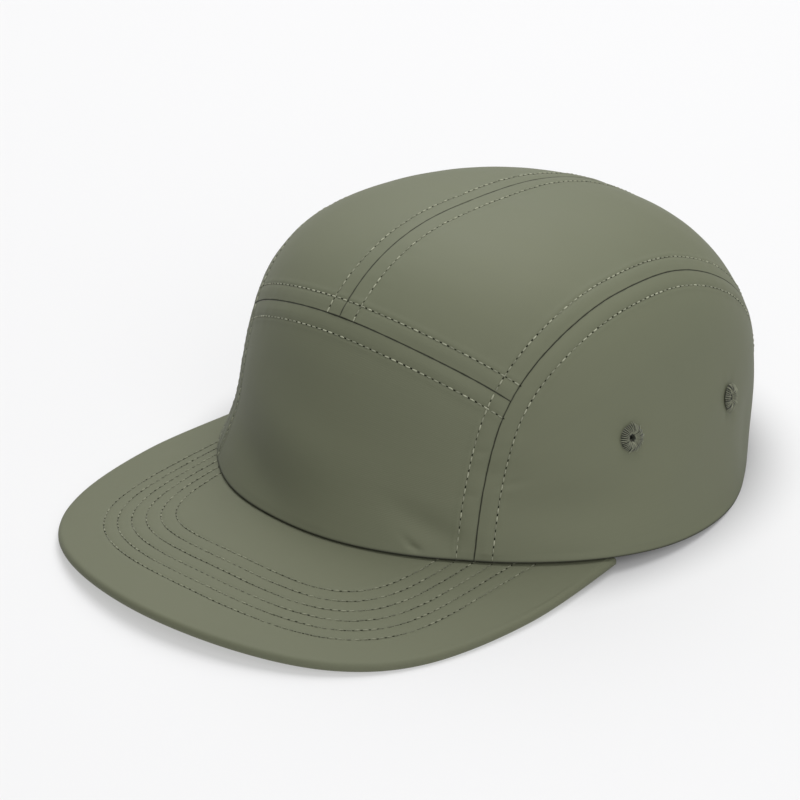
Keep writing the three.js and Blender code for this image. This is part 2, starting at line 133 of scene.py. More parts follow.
# the smooth crown over its flat map: the apex is the centre, the lower edge the unit circle
def domePoint(at):
    share = np.minimum(lengthOf(at), 1)
    turn = np.arctan2(at[..., 0], -at[..., 1])
    sideways = np.sin(turn) ** 4
    ahead = np.cos(turn)
    shape = crownShape

    def mix(key):
        end = np.where(ahead > 0, shape["front"][key], shape["back"][key])
        return between(end, shape["side"][key], sideways)

    def mixEnds(key):
        return between(shape["back"][key], shape["front"][key], (1 + ahead) / 2)

    climb = (1 - share) * math.pi / 2
    up = np.sin(climb) ** (2 / mix("rise"))
    over = np.maximum(np.cos(climb), 0) ** (2 / mix("over"))
    swell = 1 + mix("swell") * crown["swellNorm"] * up * (1 - up) ** crown["swellFade"]
    full = 1 + np.sin(2 * turn) ** 2 * between(mixEnds("lowFull"), mixEnds("topFull"), up)
    planX = crown["halfWidth"] * np.sin(turn) * full
    planY = -np.where(ahead > 0, crown["front"], crown["back"]) * ahead * full
    height = between(edgeHeight(planY), crown["height"], up)
    return np.stack([planX * over * swell, planY * over * swell - crown["apexForward"] * up, height], -1)


def outwardOn(surface, at):
    step, margin = 0.004, 0.001
    reach = np.maximum(lengthOf(at), 1e-9)[..., None]
    inside = at * np.minimum(1, (1 - step - margin) / reach)
    acrossX = surface(inside + [step, 0]) - surface(inside - [step, 0])
    acrossY = surface(inside + [0, step]) - surface(inside - [0, step])
    out = np.cross(acrossX, acrossY)
    out[..., 2] = np.where(lengthOf(at) > edgeShare, 0, out[..., 2])
    return unit(out)


def foldDepth(at, point, rows):
    turn = np.degrees(np.arctan2(at[..., 0], -at[..., 1]))
    depth = 0
    for row in rows:
        away = (turn - row["turn"] + 180) % 360 - 180
        side = np.radians(away) * crown["halfWidth"] * lengthOf(at) / crown["height"]
        rise = point[..., 2] / crown["height"] - row["height"]
        lean = math.radians(row["lean"])
        along = (side * math.cos(lean) + rise * math.sin(lean)) / row["length"]
        across = (rise * math.cos(lean) - side * math.sin(lean)) / row["width"]
        depth = depth + row["depth"] * crown["height"] * np.exp(-along * along - across * across)
    return depth


# the dome with its folds; near the lower edge they move the cloth level, so the edge stays put
def crownPoint(at):
    point = domePoint(at)
    move = outwardOn(domePoint, at) * foldDepth(at, point, dentRows)[..., None]
    move[..., 2] *= np.clip((1 - lengthOf(at)) / foldLevelShare, 0, 1)
    return point - move


# a smooth curve through points, the same one as in the part's source
def splinePoint(points, share):
    last = len(points) - 1
    place = np.clip(share, 0, 1) * last
    first = np.minimum(np.floor(place).astype(int), last)
    t = (place - first)[..., None]
    p0, p1 = points[np.maximum(first - 1, 0)], points[first]
    p2, p3 = points[np.minimum(first + 1, last)], points[np.minimum(first + 2, last)]
    start, end = (p2 - p0) / 2, (p3 - p1) / 2
    cubic = 2 * p1 - 2 * p2 + start + end
    square = -3 * p1 + 3 * p2 - 2 * start - end
    return ((cubic * t + square) * t + start) * t + p1


seams = {
    "rows": [
        {"turn": 41.7, "share": 1},
        {"turn": 44.3, "share": 0.835},
        {"turn": 51.6, "share": 0.632},
        {"turn": 72.8, "share": 0.466},
        {"turn": 109.7, "share": 0.448},
        {"turn": 132.2, "share": 0.612},
        {"turn": 143, "share": 0.799},
        {"turn": 148, "share": 1},
    ],
    "frontJoinRow": 2,
    "rearBendRow": 5,
    "frontTop": 0.445,
    "frontPower": 2.1,
    "archHalfWidth": 29,
    "archHeight": 40,
    "stitchRow": 5.6,  # from the seam to the row of stitches beside it
}
sideSeamPoints = np.array([flatPoint(row["turn"], row["share"]) for row in seams["rows"]])
lastSeamRow = len(seams["rows"]) - 1
archTurn = 180 - math.degrees(math.asin(seams["archHalfWidth"] / crown["halfWidth"]))


def sideSeam(side, row):
    return splinePoint(sideSeamPoints, np.asarray(row, float) / lastSeamRow) * [side, 1]


def frontSeam(sideways):
    joinX, joinY = sideSeam(1, seams["frontJoinRow"])
    rise = 1 - np.abs(sideways) ** seams["frontPower"]
    return np.stack([joinX * sideways, between(joinY, -seams["frontTop"], rise)], axis=-1)


def backShare(height):
    up = np.clip(np.asarray(height) / crown["height"], 0, 1)
    return 1 - np.arcsin(up ** (crownShape["back"]["rise"] / 2)) / (math.pi / 2)


def centreSeam(share):
    y = between(-seams["frontTop"], backShare(seams["archHeight"]), share)
    return np.stack([np.zeros_like(y), y], axis=-1)


def archEdge(side, share):
    foot = flatPoint(archTurn, 1)
    angle = (1 - share) * math.pi / 2
    y = between(foot[1], backShare(seams["archHeight"]), np.sin(angle))
    return np.stack([side * foot[0] * np.cos(angle), y], axis=-1)


def topBackEdge(side, share):
    archPart = 0.7
    turn = between(archTurn, seams["rows"][lastSeamRow]["turn"], (share - archPart) / (1 - archPart))
    below = flatPoint(side * np.maximum(turn, 0), 1)
    return np.where((share > archPart)[..., None], below, archEdge(side, np.minimum(share / archPart, 1)))


# shares from 0 to 1 along a length, with small cells near the sewn ends
cells = {"fine": 0.115, "growth": 0.06, "coarse": 0.85}


def spacing(length, fineStart, fineEnd, coarse=cells["coarse"]):
    place = np.linspace(0, length, 4001)
    near = np.full_like(place, length)
    if fineStart:
        near = np.minimum(near, place)
    if fineEnd:
        near = np.minimum(near, length - place)
    size = np.clip(cells["fine"] + cells["growth"] * near, cells["fine"], coarse)
    count = np.concatenate([[0], np.cumsum(np.diff(place) * 2 / (size[1:] + size[:-1]))])
    total = max(int(round(count[-1])), 2)
    return np.interp(np.linspace(0, count[-1], total + 1), count, place) / length


def edgeLength(edge):
    return lengthOf(np.diff(crownPoint(edge(np.linspace(0, 1, 200))), axis=0)).sum()


def fillPatch(edges, across, up):
    s, r = across[:, None, None], up[None, :, None]
    ends = np.array([0.0, 1.0])
    low, high = edges["low"](across)[:, None, :], edges["high"](across)[:, None, :]
    start, end = edges["start"](up)[None, :, :], edges["end"](up)[None, :, :]
    lowEnds, highEnds = edges["low"](ends), edges["high"](ends)
    corners = (1 - s) * (1 - r) * lowEnds[0] + s * (1 - r) * lowEnds[1]
    corners = corners + (1 - s) * r * highEnds[0] + s * r * highEnds[1]
    return (1 - r) * low + r * high + (1 - s) * start + s * end - corners


# a line on the crown before its folds, drawn out straight at both ends
def crownLine(flat):
    overhang = np.linspace(0.3, 9, 30)[:, None]
    points = domePoint(flat)
    before = points[0] + unit(points[0] - points[2]) * overhang[::-1]
    after = points[-1] + unit(points[-1] - points[-3]) * overhang
    points = np.concatenate([before, points, after])
    along = np.concatenate([[0], np.cumsum(lengthOf(np.diff(points, axis=0)))])
    tree = kdtree.KDTree(len(points))
    for index, point in enumerate(points):
        tree.insert(point, index)
    tree.balance()
    return {"points": points, "along": along, "tangent": unit(np.gradient(points, axis=0)), "tree": tree}


# distance from every point to a line, and the place along the line that it faces
def nearLine(points, line):
    flat = points.reshape(-1, 3)
    index = np.array([line["tree"].find(point)[1] for point in flat])
    offset = flat - line["points"][index]
    along = (offset * line["tangent"][index]).sum(-1)
    away = np.sqrt(np.maximum((offset**2).sum(-1) - along**2, 0))
    shape = points.shape[:-1]
    return away.reshape(shape), (line["along"][index] + along).reshape(shape)


fine = np.linspace(0, 1, 700)
seamLines = {
    "front": crownLine(frontSeam(2 * fine - 1)),
    "centre": crownLine(centreSeam(fine)),
    "left": crownLine(sideSeam(1, fine * lastSeamRow)),
    "right": crownLine(sideSeam(-1, fine * lastSeamRow)),
}
hemTurns = np.linspace(-archTurn, archTurn, 2400)
edgeLines = {
    "hem": crownLine(flatPoint(hemTurns, 1)),
    "arch": crownLine(np.concatenate([archEdge(-1, 1 - fine), archEdge(1, fine[1:])])),
}
print("crown's seam lines ready")

relief = {
    "roll": 0.24,  # radius of the folded cloth at a seam or an edge
    "band": 0.22,  # the allowance under the two stitch rows lifts the cloth
    "bandFade": 1.6,
    "bandFall": 3.2,  # how sharply the band ends
    "valley": 0.24,
    "valleyWidth": 0.7,
    "valleyWave": 0.22,  # share of the valley that comes and goes with each stitch
    "puff": 0.1,
    "pucker": 0.09,
    "puckerReach": 4.0,
    "pitch": 2.5,
    # widths of the painted shade: a dark line along each seam, uneven along it, and one along the hem and
    # the arch
    "seamShadeWidth": 0.23,
    "seamShadeUneven": 0.3,
    "edgeShadeWidth": 0.5,
    "seamCalm": 3,  # over this length from a seam or an edge the soft relief grows to its full height
    "edgeCalm": 2.5,
}
waves = {"lengths": (5.3, 8.1, 12.9, 22.7), "weights": (0.2, 0.3, 0.3, 0.35)}


def ripple(along, shift):
    total = 0
    for number, (length, weight) in enumerate(zip(waves["lengths"], waves["weights"])):
        total = total + weight * np.sin(2 * math.pi * along / length + shift * (number + 1.7))
    return total


def rolled(away, radius):
    left = 1 - np.minimum(away / radius, 1)
    return -radius * (1 - np.sqrt(np.maximum(1 - left * left, 0)))


# share of a valley's depth along a row, deepest at the middle of each stitch
def pulledByStitch(along, wave):
    return 1 - wave + wave * np.cos(2 * math.pi * along / relief["pitch"])


# height of the cloth near a seam and its row of stitches
def seamRelief(away, along, shift):
    row = seams["stitchRow"]
    band = relief["band"] / (1 + np.exp((away - row - relief["bandFade"]) * relief["bandFall"]))
    valley = relief["valley"] * np.exp(-(((away - row) / relief["valleyWidth"]) ** 2))
    valley = valley * pulledByStitch(along, relief["valleyWave"])
    puff = relief["puff"] * np.sin(math.pi * np.clip(away / row, 0, 1)) ** 2
    pull = np.exp(-(((away - row) / relief["puckerReach"]) ** 2))
    return band - valley + puff + relief["pucker"] * pull * ripple(along, shift)


softness = [{"height": 0.42, "size": 34}, {"height": 0.07, "size": 9}]


def softRelief(points, shift):
    flat = points.reshape(-1, 3)
    height = 0
    for part in softness:
        values = [noise.noise(Vector(point / part["size"]) + shift) for point in flat]
        height = height + part["height"] * np.array(values)
    return height.reshape(points.shape[:-1])


# lengths in millimetres, the rest are counts of steps
rowTrace = {"step": 0.6, "gap": 4, "least": 9, "trim": 2}


# places where a field crosses zero on a grid, put in order and evened out along the line
def contourLine(places, ups, field, along):
    found = []
    for axis in (0, 1):
        count = field.shape[axis]
        low, high = np.arange(count - 1), np.arange(1, count)
        first, second = field.take(low, axis), field.take(high, axis)
        crossed = (first < 0) != (second < 0)
        share = (first / np.where(crossed, first - second, 1))[crossed]

        def atCrossing(values):
            start, end = values.take(low, axis)[crossed], values.take(high, axis)[crossed]
            weight = share if values.ndim == 2 else share[:, None]
            return between(start, end, weight)

        found.append(np.column_stack([atCrossing(along), atCrossing(places), atCrossing(ups)]))
    table = np.concatenate(found)
    if len(table) == 0:
        return []
    bins = np.floor(table[:, 0] / rowTrace["step"]).astype(int)
    order = np.unique(bins)
    means = np.array([table[bins == number].mean(0) for number in order])
    pieces = np.split(means, np.where(np.diff(order) > rowTrace["gap"])[0] + 1)
    trim = rowTrace["trim"]
    return [piece[trim:-trim, 1:] for piece in pieces if len(piece) >= rowTrace["least"]]


# from the crown's own millimetres to metres on the frame
def onFrame(points):
    return (points + [0, shiftY, 0]) * mm


def linked(name, data):
    piece = bpy.data.objects.new(name, data)
    bpy.context.scene.collection.objects.link(piece)
    return piece


def meshFrom(name, points, faces, uv=None, marks=None):
    mesh = bpy.data.meshes.new(name)
    mesh.from_pydata(onFrame(points).tolist(), [], faces)
    if uv is not None:
        corners = np.empty(len(mesh.loops), np.int32)
        mesh.loops.foreach_get("vertex_index", corners)
        layer = mesh.uv_layers.new(name="weave")
        layer.data.foreach_set("uv", uv[corners].astype(np.float32).ravel())
    for key, values in (marks or {}).items():
        attribute = mesh.attributes.new(key, "FLOAT", "POINT")
        attribute.data.foreach_set("value", values.ravel().astype(np.float32))
    mesh.polygons.foreach_set("use_smooth", np.ones(len(mesh.polygons), bool))
    mesh.validate()
    mesh.update()
    return linked(name, mesh)


# the quads between each loop of a grid of points and the next one
def loopFaces(ids):
    after = np.roll(ids, -1, axis=1)
    return np.stack([ids[:-1], after[:-1], after[1:], ids[1:]], -1).reshape(-1, 4)


# a closed shell between two grids of points; cells that aren't kept leave a hole through it
def shellPiece(name, outer, inner, out, uv, marks, kept=None):
    columns, rows = outer.shape[:2]
    ids = np.arange(columns * rows).reshape(columns, rows)
    under = ids + columns * rows
    kept = np.ones((columns - 1, rows - 1), bool) if kept is None else kept
    a, b, c, d = ids[:-1, :-1], ids[1:, :-1], ids[1:, 1:], ids[:-1, 1:]
    faces = [np.stack([a, b, c, d], -1)[kept]]
    faces.append(np.stack([a, d, c, b], -1)[kept] + columns * rows)
    padded = np.pad(kept, 1)
    level = padded[1:-1, :]
    above, below = level[:, 1:] & ~level[:, :-1], level[:, :-1] & ~level[:, 1:]
    wall = np.stack([ids[1:, :], ids[:-1, :], under[:-1, :], under[1:, :]], -1)
    faces += [wall[above], wall[below][:, ::-1]]
    upright = padded[:, 1:-1]
    right, left = upright[1:, :] & ~upright[:-1, :], upright[:-1, :] & ~upright[1:, :]
    wall = np.stack([ids[:, :-1], ids[:, 1:], under[:, 1:], under[:, :-1]], -1)
    faces += [wall[right], wall[left][:, ::-1]]
    faces = np.concatenate(faces)
    middle = (columns // 2, rows // 2)
    alongColumns = outer[middle[0] + 1, middle[1]] - outer[middle]
    alongRows = outer[middle[0], middle[1] + 1] - outer[middle]
    if np.dot(np.cross(alongColumns, alongRows), out[middle]) < 0:
        faces = faces[:, ::-1]
    used, compact = np.unique(faces, return_inverse=True)
    points = np.concatenate([outer.reshape(-1, 3), inner.reshape(-1, 3)])[used]
    bothUv = np.concatenate([uv.reshape(-1, 2)] * 2)[used]
    bothMarks = {key: np.concatenate([value.ravel()] * 2)[used] for key, value in marks.items()}
    return meshFrom(name, points, compact.reshape(faces.shape).tolist(), bothUv, bothMarks)


brim = {
    "reach": 60.2,
    "halfWidth": 85.7,
    "thickness": 3.3,
    "cornerIn": 0.8,
    "tuck": 2.4,
    "cornerTurn": 71.9,
    "frontLift": 4.6,
    "restShare": 0.6,
    "gap": 0.35,
    "rows": [
        {"side": 0.999, "forward": 0.345},
        {"side": 0.917, "forward": 0.648},
        {"side": 0.719, "forward": 0.843},
        {"side": 0.399, "forward": 0.958},
        {"side": 0, "forward": 1},
    ],
    "cell": 0.9,
    "cellOut": 0.55,
    "edgeCells": 9,
    "edgeCalm": 4,  # the relief fades out over this length beside the edge
    "hemCalm": (3, 9),  # and it begins and is full at these lengths from the hem
    "underShare": 0.5,  # share of the top's relief that the underside has
}
shiftY = frontShiftY + brim["reach"]

eyelets = {
    "diameter": 9.6,
    "hole": 1.4,
    "barrel": 5.2,
    "rows": [
        {"name": "Front", "turn": 80.4, "share": 0.797},
        {"name": "Rear", "turn": 115.2, "share": 0.844},
    ],
    "clothHole": 5.9,
    "threads": 38,
    "threadWidth": 0.23,
    "threadSpread": ((0.9, 1, 0.75), (1.08, 1, 1.2)),
    "darkest": 0.6,
    "crest": 1.3,
    "segments": 64,
    "sink": 0.55,  # the threads draw the cloth in around the hole
    "sinkReach": 6.5,
    "puckers": 7,
    "pucker": 0.07,
    "puckerWidth": 2.4,
}


def eyeletPlace(side, row):
    at = flatPoint(side * row["turn"], row["share"])
    out = outwardOn(crownPoint, at[None])[0]
    return {"centre": crownPoint(at[None])[0], "out": out}


stitchRows = {"crown": [], "brim": []}
panelPieces = {}


def makePanel(name, node, edges, sewn, shift, places=()):
    lengths = {key: edgeLength(edge) for key, edge in edges.items()}
    width, rise = (lengths["low"] + lengths["high"]) / 2, (lengths["start"] + lengths["end"]) / 2
    across, up = spacing(width, True, True), spacing(rise, True, True)
    at = fillPatch(edges, across, up)
    reach = lengthOf(at)
    at = np.where((reach > 1)[..., None], at / np.maximum(reach, 1e-9)[..., None], at)
    base, out, unfolded = crownPoint(at), outwardOn(crownPoint, at), domePoint(at)
    height = softRelief(base, Vector((shift, 0, 0)))
    crease = foldDepth(at, base, creaseRows)
    farAway = 99.0
    fields, nearest = [], np.full(base.shape[:2], farAway)
    seamHeight, seamShade = 0, 0
    for number, key in enumerate(sewn):
        away, along = nearLine(unfolded, seamLines[key])
        fields.append((away, along))
        nearest = np.minimum(nearest, away)
        seamHeight = seamHeight + seamRelief(away, along, shift + number)
        # painted shade: the cloth is darkened in a thin line along each seam, where shade lies in its
        # groove
        width = relief["seamShadeWidth"] * (1 + relief["seamShadeUneven"] * ripple(2 * along, number))
        seamShade = np.maximum(seamShade, np.exp(-((away / width) ** 2)))
    edgeAway = np.minimum(*[nearLine(unfolded, line)[0] for line in edgeLines.values()])
    height = height - crease + seamHeight
    for place in places:
        radius = lengthOf(base - place["centre"])
        angle = np.arctan2(*(base - place["centre"])[..., [2, 1]].transpose(2, 0, 1))
        ring = np.exp(-(((radius - eyelets["sinkReach"]) / eyelets["puckerWidth"]) ** 2))
        height = height - eyelets["sink"] * np.exp(-((radius / eyelets["sinkReach"]) ** 2))
        height = height + eyelets["pucker"] * np.cos(eyelets["puckers"] * angle + shift) * ring
    sheltered = np.clip(np.minimum(nearest, edgeAway) / relief["seamCalm"], 0, 1)
    height = between(seamHeight, height, sheltered)
    height = height * np.clip(edgeAway / relief["edgeCalm"], 0, 1)
    height = height + rolled(np.minimum(nearest, edgeAway), relief["roll"])
    outer = base + out * height[..., None]
    inner = base - out * crown["wall"]
    kept = None
    for place in places:
        radius = lengthOf(base - place["centre"])
        middle = (radius[:-1, :-1] + radius[1:, 1:]) / 2
        free = middle > eyelets["clothHole"] / 2
        kept = free if kept is None else kept & free
    for away, along in fields:
        stitchRows["crown"] += contourLine(outer, out, away - seams["stitchRow"], along)
    uv = np.stack(np.broadcast_arrays(across[:, None] * width, up[None, :] * rise), -1)
    # painted shade along the hem and the arch, where the crown meets the brim and the opening
    edgeShade = np.exp(-((edgeAway / relief["edgeShadeWidth"]) ** 2))
    marks = {"grooveShade": np.maximum(seamShade, edgeShade)}
    piece = shellPiece(name, outer, inner, out, uv, marks, kept)
    panelPieces[name] = (piece, node)
    print(name, "made,", len(piece.data.polygons), "faces")


def frontPanel():
    foot = seams["rows"][0]["turn"]
    join = seams["frontJoinRow"]
    edges = {
        "low": lambda s: flatPoint(between(-foot, foot, s), 1),
        "high": lambda s: frontSeam(2 * s - 1),
        "start": lambda r: sideSeam(-1, join * r),
        "end": lambda r: sideSeam(1, join * r),
    }
    makePanel("frontPanel", "front_panel", edges, ["front", "left", "right"], 1.3)


def topPanel(side, word):
    bend = 2 / 3
    join, rear = seams["frontJoinRow"], seams["rearBendRow"]

    def seamRow(r):
        before = between(join, rear, r / bend)
        return np.where(r < bend, before, between(rear, lastSeamRow, (r - bend) / (1 - bend)))

    edges = {
        "low": lambda s: frontSeam(side * s),
        "high": lambda s: topBackEdge(side, s),
        "start": centreSeam,
        "end": lambda r: sideSeam(side, seamRow(r)),
    }
    node = "top_panel_" + word.lower()
    makePanel("topPanel" + word, node, edges, ["front", "centre", word.lower()], 3.1 + side)


def sidePanel(side, word):
    frontFoot, rearFoot = seams["rows"][0]["turn"], seams["rows"][lastSeamRow]["turn"]
    join, rear = seams["frontJoinRow"], seams["rearBendRow"]
    edges = {
        "low": lambda s: flatPoint(side * between(frontFoot, rearFoot, s), 1),
        "high": lambda s: sideSeam(side, between(join, rear, s)),
        "start": lambda r: sideSeam(side, join * r),
        "end": lambda r: sideSeam(side, between(lastSeamRow, rear, r)),
    }
    places = [eyeletPlace(side, row) for row in eyelets["rows"]]
    node = "side_panel_" + word.lower()
    makePanel("sidePanel" + word, node, edges, [word.lower()], 6.4 + side, places)


frontPanel()
for side, word in ((1, "Left"), (-1, "Right")):
    topPanel(side, word)
    sidePanel(side, word)
print("crown panels made")

# six rows of stitches on the brim, from the widest to the narrowest
brimStitch = {
    "count": 6,
    "centreX": 2.1,
    "centreY": -67.5,
    "halfWidth": (67.3, 46.1),
    "forward": (69.6, 46.4),
    "square": (2.54, 3.56),
    "squareAhead": 3.66,
    "valley": 0.26,
    "valleyWidth": 0.6,
    "valleyWave": 0.25,
    "pucker": 0.5,  # share of the crown's pucker
    "puckerReach": 3,
}


def brimOutlinePoints():
    corner = domePoint(flatPoint(brim["cornerTurn"], 1)[None])[0]
    frontY = -(crown["front"] + brim["reach"])
    half = [[corner[0] - brim["cornerIn"], corner[1]]]
    for row in brim["rows"]:
        half.append([row["side"] * brim["halfWidth"], between(corner[1], frontY, row["forward"])])
    half = np.array(half)
    return np.concatenate([half, (half[:-1] * [-1, 1])[::-1]]), corner


def brimLift(sideways, rearHeight):
    away, rest = np.abs(sideways), brim["restShare"]
    front = brim["frontLift"] * (1 + np.cos(math.pi * np.minimum(away / rest, 1))) / 2
    rear = rearHeight * (np.maximum(away - rest, 0) / (1 - rest)) ** 1.5
    return np.where(away < rest, front, rear)


# signed distance in plan from a point to one row of stitches, and the place along the row
def brimRowField(x, y, number):
    share = number / (brimStitch["count"] - 1)
    half = between(*brimStitch["halfWidth"], share)
    forward = between(*brimStitch["forward"], share)
    power = between(*brimStitch["square"], share)
    x = x - brimStitch["centreX"]

    def level(px, py):
        ahead = np.maximum(brimStitch["centreY"] - py, 0) / forward
        return (np.abs(px) / half) ** power + ahead ** brimStitch["squareAhead"] - 1

    step = 0.05
    slopeX = (level(x + step, y) - level(x - step, y)) / (2 * step)
    slopeY = (level(x, y + step) - level(x, y - step)) / (2 * step)
    away = level(x, y) / np.maximum(np.hypot(slopeX, slopeY), 1e-6)
    angle = np.arctan2(x / half, np.maximum(brimStitch["centreY"] - y, 0) / forward)
    behind = np.maximum(y - brimStitch["centreY"], 0)
    return away, angle * (half + forward) / 2 + np.sign(x) * behind


def brimPiece():
    outline, corner = brimOutlinePoints()
    radius = brim["thickness"] / 2
    rearHeight = corner[2] - brim["gap"] - brim["thickness"]
    probe = splinePoint(outline, np.linspace(0, 1, 1500))
    total = lengthOf(np.diff(probe, axis=0)).sum()
    share = spacing(total, False, False, brim["cell"])
    sideways = 2 * share - 1
    along = (1 - sideways) / 2
    at = flatPoint(brim["cornerTurn"] * sideways, 1)
    inner = crownPoint(at) - outwardOn(crownPoint, at) * (crown["wall"] + brim["tuck"])
    inner[:, 2] -= brim["gap"] + radius
    rim = splinePoint(outline, along)
    heading = unit(splinePoint(outline, along + 1e-4) - splinePoint(outline, along - 1e-4))
    out = np.stack([-heading[:, 1], heading[:, 0], np.zeros(len(rim))], -1)
    edge = np.column_stack([rim, brimLift(sideways, rearHeight) + radius]) - out * radius
    steps = np.linspace(0, 1, int(brim["reach"] / brim["cellOut"]) + 1)
    middle = between(inner[:, None], edge[:, None], steps[None, :, None])
    angles = math.pi / 2 - np.arange(1, brim["edgeCells"]) * math.pi / brim["edgeCells"]
    swing = radius * np.cos(angles)[None, :, None]
    turnOver = edge[:, None] + out[:, None] * swing + [0, 0, 1] * (radius * np.sin(angles))[:, None]
    height = np.zeros(middle.shape[:2])
    fields = []
    for number in range(brimStitch["count"]):
        away, place = brimRowField(middle[..., 0], middle[..., 1], number)
        fields.append((away, place))
        valley = np.exp(-((away / brimStitch["valleyWidth"]) ** 2))
        height = height - brimStitch["valley"] * valley * pulledByStitch(place, brimStitch["valleyWave"])
        pull = brimStitch["pucker"] * np.exp(-((away / brimStitch["puckerReach"]) ** 2))
        height = height + relief["pucker"] * pull * ripple(place, number)
    calmStart, calmEnd = brim["hemCalm"]
    nearHem = np.clip((steps * brim["reach"] - calmStart) / (calmEnd - calmStart), 0, 1)
    nearEdge = np.clip((1 - steps) * brim["reach"] / brim["edgeCalm"], 0, 1)
    calm = (nearHem * nearEdge)[None, :]
    soft = softRelief(middle, Vector((0, 0, 4.2)))
    height = (height + soft) * calm
    up = np.array([0, 0, 1.0])
    top = middle + up * (radius + height)[..., None]
    bottom = middle - up * (radius + brim["underShare"] * height)[..., None]
    ups = np.broadcast_to(up, top.shape)
    for away, place in fields:
        stitchRows["brim"] += contourLine(top, ups, away, place)
    loop = np.concatenate([top, turnOver, bottom[:, ::-1]], axis=1)
    columns, rows = loop.shape[:2]
    ids = np.arange(columns * rows).reshape(columns, rows)
    half = rows // 2
    pairs = np.arange(half - 1 if rows % 2 else half)
    pairs = pairs[pairs + 1 < rows - 2 - pairs + 1]
    cap = np.stack([pairs, rows - 1 - pairs, rows - 2 - pairs, pairs + 1], -1)
    faces = np.concatenate([loopFaces(ids), ids[0][cap], ids[-1][cap][:, ::-1]])[:, ::-1].tolist()
    uv = np.stack([loop[..., 0], loop[..., 1] + loop[..., 2] * 0.2], -1)
    piece = meshFrom("brimShell", loop.reshape(-1, 3), faces, uv.reshape(-1, 2))
    panelPieces["brimShell"] = (piece, "brim")
    print("brim made,", len(piece.data.polygons), "faces")


brimPiece()


# One socket of a node tree, with the arithmetic that the finishes use.
class Link:
    def __init__(self, tree, socket):
        self.tree = tree
        self.socket = socket

    def maths(self, operation, first, second):
        node = self.tree.nodes.new("ShaderNodeMath")
        node.operation = operation
        for slot, value in zip(node.inputs, (first, second)):
            if isinstance(value, Link):
                self.tree.links.new(value.socket, slot)
            else:
                slot.default_value = value
        return Link(self.tree, node.outputs[0])

    def __add__(self, other):
        return self.maths("ADD", self, other)

    def __radd__(self, other):
        return self.maths("ADD", other, self)

    def __sub__(self, other):
        return self.maths("SUBTRACT", self, other)

    def __rsub__(self, other):
        return self.maths("SUBTRACT", other, self)

    def __mul__(self, other):
        return self.maths("MULTIPLY", self, other)

    def __rmul__(self, other):
        return self.maths("MULTIPLY", other, self)


class Finish:
    def __init__(self, name, constants):
        self.material = bpy.data.materials.new(name)
        self.material.use_nodes = True
        self.tree = self.material.node_tree
        self.shader = self.tree.nodes["Principled BSDF"]
        for key, value in constants.items():
            self.shader.inputs[key].default_value = value

    def plug(self, socket, value):
        if isinstance(value, Link):
            self.tree.links.new(value.socket, socket)
        else:
            socket.default_value = value

    def add(self, kind, settings=None, values=None, output=0):
        node = self.tree.nodes.new(kind)
        for key, value in (settings or {}).items():
            setattr(node, key, value)
        for key, value in (values or {}).items():
            self.plug(node.inputs[key], value)
        return Link(self.tree, node.outputs[output])

    def mixColours(self, share, first, second):
        values = {"Factor": share, 6: first, 7: second}
        return self.add("ShaderNodeMix", {"data_type": "RGBA"}, values, 2)

    def tint(self, colour, amount):
        values = {"Factor": 1.0, 6: colour, 7: amount}
        return self.add("ShaderNodeMix", {"data_type": "RGBA", "blend_type": "MULTIPLY"}, values, 2)

    def speckle(self, coords, scale, detail=2.0):
        values = {"Vector": coords, "Scale": scale, "Detail": detail}
        return self.add("ShaderNodeTexNoise", None, values, "Fac")

    # even bands, the pitch apart; the node takes 20 radians for each unit of its scale
    def wave(self, coords, direction, pitch, distortion):
        settings = {"wave_type": "BANDS", "bands_direction": direction, "wave_profile": "SIN"}
        values = {"Vector": coords, "Scale": 2 * math.pi / pitch / 20, "Distortion": distortion}
        return self.add("ShaderNodeTexWave", settings, values, "Fac")

    def place(self):
        return self.add("ShaderNodeTexCoord", None, None, "Object")

    def weave(self):
        return self.add("ShaderNodeUVMap", {"uv_map": "weave"}, None, "UV")

    def stored(self, key):
        return self.add("ShaderNodeAttribute", {"attribute_name": key}, None, "Fac")

    def grey(self, tone):
        return self.add("ShaderNodeCombineColor", None, {"Red": tone, "Green": tone, "Blue": tone})

    def bump(self, height, strength, distance):
        values = {"Height": height, "Strength": strength, "Distance": distance * mm}
        return self.add("ShaderNodeBump", None, values, "Normal")

    def out(self, colour=None, roughness=None, normal=None):
        pairs = {"Base Color": colour, "Roughness": roughness, "Normal": normal}
        for key, value in pairs.items():
            if value is not None:
                self.plug(self.shader.inputs[key], value)
        return self.material


clothLook = {
    "colour": (0.137, 0.149, 0.0975, 1),
    "warm": (0.148, 0.155, 0.0995, 1),
    # how far the painted shade along the seams and lower edges darkens the cloth
    "grooveShade": 0.88,
    "yarn": 0.46,
    "roughness": 0.66,
    "weaveBump": 0.1,
    "streakScale": (0.11, 2.1),  # long along a yarn, short across it
    "streakTone": 0.07,
    "streakBump": 0.05,
    "grainBump": 0.03,
    "sheen": 0.02,
}


